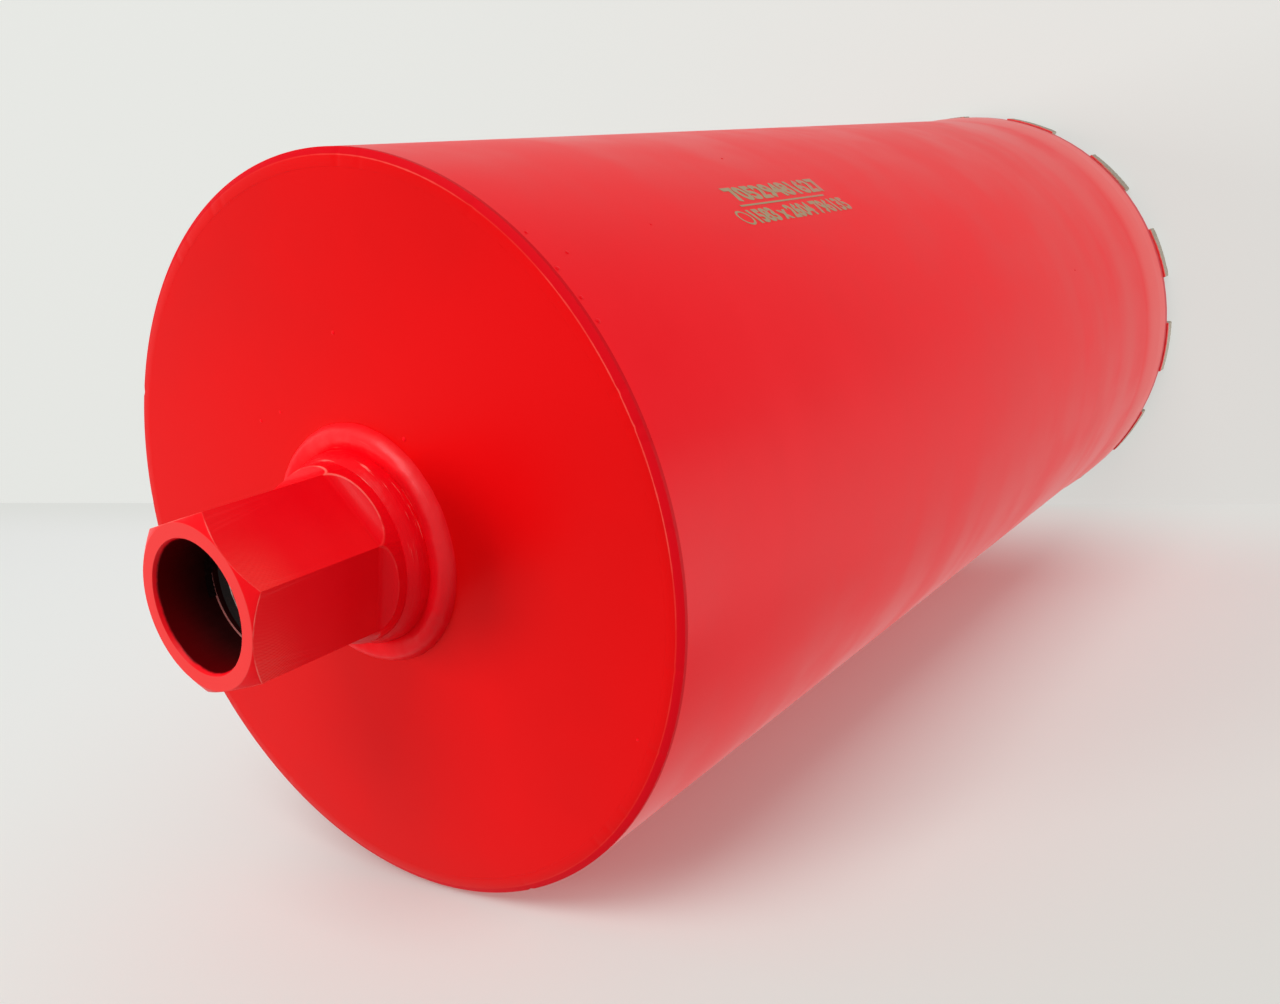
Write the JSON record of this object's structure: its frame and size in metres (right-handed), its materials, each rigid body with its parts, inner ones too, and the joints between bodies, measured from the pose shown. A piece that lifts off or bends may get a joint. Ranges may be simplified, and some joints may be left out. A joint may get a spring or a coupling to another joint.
{
  "type": "diamond core bit",
  "caption": "Painted steel tube closed by a back plate with a threaded hexagon hub, and diamond segments spaced round its open rim, for wet core drilling.",
  "frame": {"origin": "on the tool's axis, in the plane of the segment tips that the bit stands on", "axes": "+Z along the axis the bit turns about, from the crown up to the hub; +X through a corner of the hub's hexagon; +Y square to two of its flats"},
  "size_m": [0.2032, 0.2028, 0.4674],
  "materials": {
    "red_paint": "satin red enamel sprayed over steel",
    "diamond_matrix": "sintered metal with diamond grit, grey beige, red overspray on the half beside the rim"
  },
  "bodies": {
    "root": {"barrel": "red_paint", "back_plate": "red_paint", "rim_weld": "red_paint", "hub": "red_paint", "hub_weld": "red_paint", "segment_01": "diamond_matrix", "segment_02": "diamond_matrix", "segment_03": "diamond_matrix", "segment_04": "diamond_matrix", "segment_05": "diamond_matrix", "segment_06": "diamond_matrix", "segment_07": "diamond_matrix", "segment_08": "diamond_matrix", "segment_09": "diamond_matrix", "segment_10": "diamond_matrix", "segment_11": "diamond_matrix", "segment_12": "diamond_matrix", "segment_13": "diamond_matrix", "segment_14": "diamond_matrix"}
  },
  "joints": []
}
